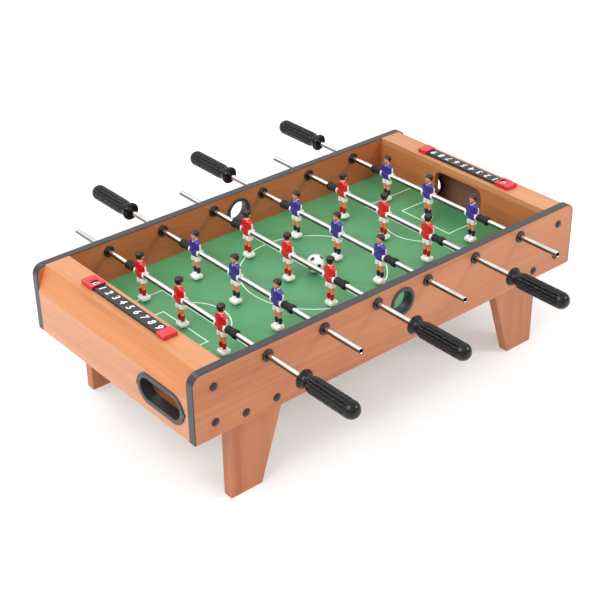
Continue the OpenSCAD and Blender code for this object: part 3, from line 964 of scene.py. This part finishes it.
def figure_form(team):
    """One figure that faces +X with the rod's axis at its origin, in its team's colours."""
    shirt, sock = "shirt_" + team, "sock_" + team
    rod_r = 4.0
    sole = (figure_lo.z - tube_lo.z) / MM - rod_r
    form = Form()
    form.loft([
        (-7.0, 0, 0, 4.5, 7.1, 2.8), (-5.5, 0, 0, 4.9, 7.4, 2.8), (-2, 0, 0, 4.7, 7.1, 2.7), (3, 0, 0, 4.7, 7.3, 2.6),
        (8.4, 0.2, 0, 4.95, 8.5, 2.5), (12.8, 0.2, 0, 4.9, 9.1, 2.4), (15.7, 0, 0, 4.4, 8.3, 2.3),
        (17.5, 0, 0, 3.6, 5.8, 2.2), (18.8, 0, 0, 3.1, 3.6, 2.0),
    ], shirt, 4, 36)
    head_size, head_lift = 0.9, 0.9
    form.add(head_form(), Matrix.Translation((0, 0, head_lift)) @ Matrix.Scale(head_size, 4))
    for sy in (-1, 1):
        arm(form, sy, shirt)
        leg(form, sy, sock, sole)
    hips = Form()
    hips.turned([
        (GRIPPING_BORE, -8.1), (5.3, -8.1), (5.5, -7.6), (5.5, 7.6), (5.3, 8.1), (GRIPPING_BORE, 8.1),
    ], shirt, 30, loop=True)
    form.add(hips, ALONG_Y)
    # Waist of the shorts
    form.loft([
        (-5.0, 0, 0, 4.5, 7.0, 2.8), (-7.2, 0, 0, 4.8, 7.3, 2.8), (-9.8, 0, 0, 4.7, 7.2, 2.8),
        (-11.0, 0, 0, 3.6, 6.2, 2.8),
    ], "white", 3, 32)
    # Flat sole block that strikes the ball
    form.loft([
        (sole, 1.25, 0, 6.6, 7.0, 5.0), (sole + 0.2, 1.25, 0, 7.0, 7.3, 5.0), (sole + 0.7, 1.25, 0, 7.25, 7.5, 5.0),
        (sole + 3.6, 1.25, 0, 7.2, 7.45, 5.0), (sole + 4.0, 1.25, 0, 7.0, 7.25, 5.0),
        (sole + 4.2, 1.25, 0, 6.6, 6.9, 5.0),
    ], "white", 2, 48)
    return form


def build_rods():
    """The pieces of all six rods: odd rods carry the red team, and the blue team's rods are turned round."""
    tube, handle, bumper = tube_form(), handle_form(), bumper_form()
    figures = {team: figure_form(team) for team in ("red", "blue")}
    half_figure = 11.5
    pitch = (figure_hi.y - figure_lo.y) / 2 / MM - half_figure
    for body in RODS:
        number = int(body.split("_")[1])
        team = "red" if number % 2 else "blue"
        place = rod_matrix(body)
        shaft = Form()
        shaft.add(tube, ALONG_Y)
        shaft.piece("rod_tube_{}".format(number), place, body, ["tube_{}".format(number)])
        grip = Form()
        grip.add(handle, Matrix.Identity(4))
        grip.piece("rod_handle_{}".format(number), place, body, ["handle_{}".format(number)], 50)
        pair = Form()
        pair.add(bumper, ALONG_Y)
        pair.add(bumper, HALF_TURN @ ALONG_Y)
        pair.piece("rod_bumpers_{}".format(number), place, "bumpers_{}".format(number),
                   ["bumpers_{}".format(number)])
        team_form = Form()
        for k in (-1, 0, 1):
            team_form.add(figures[team], Matrix.Translation((0, k * pitch, 0)))
        team_form.piece("figures_{}".format(number), place, body, ["players_{}".format(number)], 50)


build_rods()


# ---- Floor, light and camera ----

def floor():
    """Pale floor that glows a little, so that shadows on it stay faint."""
    mesh = bpy.data.meshes.new("floor")
    half = 12.0
    mesh.from_pydata([(-half, -half, 0), (half, -half, 0), (half, half, 0), (-half, half, 0)], [], [(0, 1, 2, 3)])
    obj = bpy.data.objects.new("floor", mesh)
    bpy.context.scene.collection.objects.link(obj)
    paint = Paint("floor_white", (0.7, 0.7, 0.7), 0.9, Emission_Strength=0.3)
    mesh.materials.append(paint.finish(paint.ramp(paint.noise(3.0), (0.3, 0.69), (0.7, 0.71))))


def area_light(name, place, aim, size, power):
    data = bpy.data.lights.new(name, "AREA")
    data.shape = "SQUARE"
    data.size = size
    data.energy = power
    obj = bpy.data.objects.new(name, data)
    obj.location = place
    obj.rotation_euler = (Vector(aim) - Vector(place)).to_track_quat("-Z", "Y").to_euler()
    bpy.context.scene.collection.objects.link(obj)


def lights():
    """White studio walls above a grey foot, a wide lamp over the left end and two small ones."""
    world = bpy.data.worlds.new("studio")
    world.use_nodes = True
    tree = world.node_tree
    background = tree.nodes["Background"]
    height = tree.nodes.new("ShaderNodeSeparateXYZ")
    ramp = tree.nodes.new("ShaderNodeValToRGB")
    tree.links.new(tree.nodes.new("ShaderNodeTexCoord").outputs["Generated"], height.inputs[0])
    tree.links.new(height.outputs["Z"], ramp.inputs["Fac"])
    tree.links.new(ramp.outputs["Color"], background.inputs["Color"])
    low, high = ramp.color_ramp.elements
    low.position, high.position = 0.0, 0.36
    low.color, high.color = (0.22, 0.22, 0.23, 1), (1, 1, 1, 1)
    background.inputs["Strength"].default_value = 1.02
    bpy.context.scene.world = world
    middle = (0, 0, 0.15)
    area_light("top_left", (-1.6, -0.2, 1.9), middle, 1.4, 30)
    area_light("right_front", (1.35, -1.6, 1.55), middle, 0.5, 15)
    area_light("high_back", (-0.35, 1.3, 1.6), middle, 0.6, 4)
    bpy.context.scene.view_settings.view_transform = "Standard"


def camera():
    """The photograph's viewing angle; the frame is square."""
    azimuth, elevation, roll = (math.radians(a) for a in (-39.88, 30.96, -0.855))
    distance = 1.9135
    aim = Vector((-0.0182, 0.0081, 0.1109))
    level = math.cos(elevation)
    back = Vector((math.sin(azimuth) * level, -math.cos(azimuth) * level, math.sin(elevation)))
    right = Vector((math.cos(azimuth), math.sin(azimuth), 0))
    up = back.cross(right)
    right, up = (
        math.cos(roll) * right + math.sin(roll) * up,
        math.cos(roll) * up - math.sin(roll) * right,
    )
    data = bpy.data.cameras.new("camera")
    data.lens = 79.69
    data.sensor_width = 36.0
    obj = bpy.data.objects.new("camera", data)
    rotation = Matrix((right, up, back)).transposed().to_4x4()
    obj.matrix_world = Matrix.Translation(aim + back * distance) @ rotation
    bpy.context.scene.collection.objects.link(obj)
    bpy.context.scene.camera = obj


floor()
lights()
camera()
